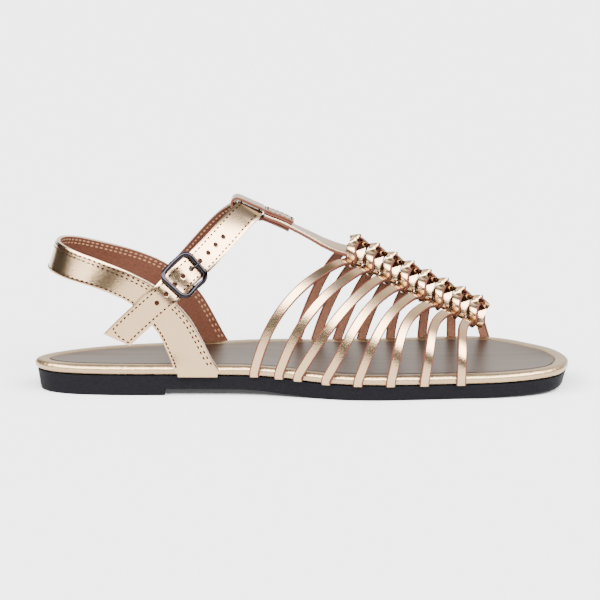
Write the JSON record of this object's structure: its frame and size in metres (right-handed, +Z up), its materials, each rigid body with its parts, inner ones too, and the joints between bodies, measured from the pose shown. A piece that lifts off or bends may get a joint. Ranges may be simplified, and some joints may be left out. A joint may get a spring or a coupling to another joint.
{
  "type": "gladiator sandal",
  "caption": "Flat open-toe gladiator sandal for the right foot: narrow side straps knotted to a central bar, a heel strap and a buckled ankle strap on a low rubber sole.",
  "frame": {"origin": "under the middle of the shoe's box, on the floor it stands on", "axes": "+X from the heel to the toe, +Y towards the inner side of the foot, +Z up"},
  "size_m": [0.249, 0.0972, 0.089],
  "materials": {
    "sole_rubber": "matte moulded",
    "edge_leather": "smooth metallic",
    "sock_leather": "brushed metallic",
    "strap_leather": "fine-grained metallic",
    "buckle_metal": "polished, darkened"
  },
  "bodies": {
    "root": {"outsole": "sole_rubber", "footbed": "edge_leather", "insole": "sock_leather", "upper": "strap_leather", "tbar_loop": "strap_leather", "heel_strap": "strap_leather", "ankle_strap": "strap_leather", "buckle_tab": "strap_leather", "buckle_frame": "buckle_metal", "buckle_prong": "buckle_metal"}
  },
  "joints": []
}
